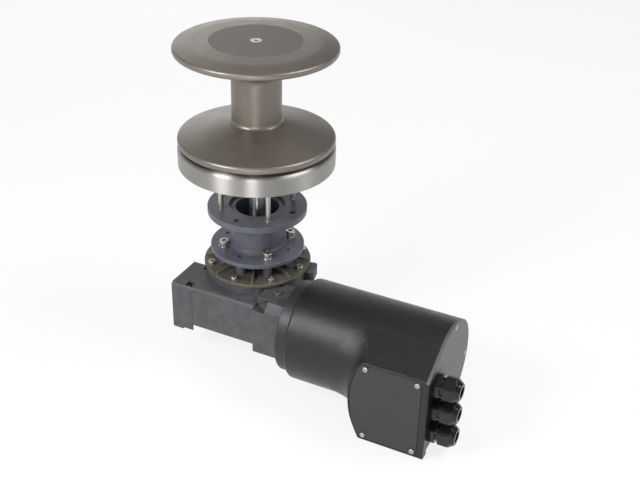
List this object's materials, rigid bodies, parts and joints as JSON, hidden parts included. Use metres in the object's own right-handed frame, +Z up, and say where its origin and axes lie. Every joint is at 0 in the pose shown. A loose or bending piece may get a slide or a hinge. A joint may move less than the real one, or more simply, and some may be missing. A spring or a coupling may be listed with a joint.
{
  "type": "capstan winch",
  "caption": "Vertical electric capstan winch: flanged rope drum on a round deck base, with a spool-shaped spacer, worm gearbox and covered motor hung below the deck.",
  "frame": {"origin": "centre of the base ring's underside, the face that stands on the deck", "axes": "+Z up along the drum's axis; +X along the motor, away from the worm's closed end; the terminal pocket is on the -Y side"},
  "size_m": [0.4536, 0.2506, 0.4494],
  "materials": {
    "drum_alloy": "satin, warm grey",
    "drum_cap_alloy": "satin, a little darker",
    "base_alloy": "fine satin",
    "fastener_steel": "bright",
    "fastener_black": "blackened",
    "shaft_steel": "ground",
    "bearing_steel": "polished",
    "bronze": "machined",
    "spacer_paint": "satin blue grey",
    "gear_cover_cast": "dull cast, olive grey",
    "housing_cast": "dull cast grey",
    "plug_metal": "dull",
    "flange_black": "satin black",
    "cover_black": "fine textured black",
    "can_steel": "dull black",
    "magnet": "ferrite",
    "core_steel": "laminated",
    "copper": "enamelled wire",
    "carbon": "dull carbon",
    "board_plastic": "moulded",
    "terminal_brass": "bright",
    "end_plate_alloy": "satin",
    "lid_paint": "satin dark grey",
    "rubber": "matt",
    "gland_plastic": "glossy black"
  },
  "bodies": {
    "frame": {"base_ring": "base_alloy", "base_bush": "bronze", "thrust_washer": "bronze", "deck_studs": "fastener_steel", "stud_washers": "fastener_steel", "stud_nuts": "fastener_steel", "spacer": "spacer_paint", "spacer_screws": "fastener_steel", "spacer_washers": "fastener_steel", "gear_cover": "gear_cover_cast", "cover_screws": "fastener_steel", "shaft_seal": "rubber", "upper_bearing": "bearing_steel", "lower_bearing": "bearing_steel", "gear_housing": "housing_cast", "worm_end_cap": "housing_cast", "end_cap_screws": "fastener_black", "end_cap_nuts": "fastener_black", "worm_bearings": "bearing_steel", "worm_seal": "rubber", "oil_plug": "plug_metal", "motor_flange": "flange_black", "motor_studs": "fastener_steel", "motor_nuts": "fastener_steel", "motor_bearings": "bearing_steel", "motor_can": "can_steel", "motor_end_bell": "can_steel", "magnets": "magnet", "brush_holder": "board_plastic", "brushes": "carbon", "motor_cover": "cover_black", "end_plate": "end_plate_alloy", "end_plate_screws": "fastener_steel", "terminal_lid": "lid_paint", "lid_gasket": "rubber", "lid_screws": "fastener_steel", "terminal_board": "board_plastic", "terminal_studs": "terminal_brass", "gland_bodies": "gland_plastic", "gland_nuts": "gland_plastic", "gland_seals": "rubber", "gland_locknuts": "gland_plastic"},
    "drum": {"drum": "drum_alloy", "drum_cap": "drum_cap_alloy", "drum_screw": "fastener_steel", "drum_key": "shaft_steel", "main_shaft": "shaft_steel", "wheel_key": "shaft_steel", "worm_wheel": "bronze"},
    "worm": {"worm_shaft": "shaft_steel", "coupling": "shaft_steel", "armature_shaft": "shaft_steel", "armature_core": "core_steel", "armature_windings": "copper", "commutator": "copper"}
  },
  "joints": [
    {"name": "drum_spin", "type": "hinge", "parent": "frame", "child": "drum", "pos_m": [0, 0, 0], "axis": [0, 0, 1], "continuous": true},
    {"name": "worm_spin", "type": "hinge", "parent": "frame", "child": "worm", "pos_m": [0, -0.062, -0.1968], "axis": [1, 0, 0], "continuous": true}
  ],
  "couplings": [
    {"joint": "worm_spin", "follows": "drum_spin", "ratio": -40}
  ]
}
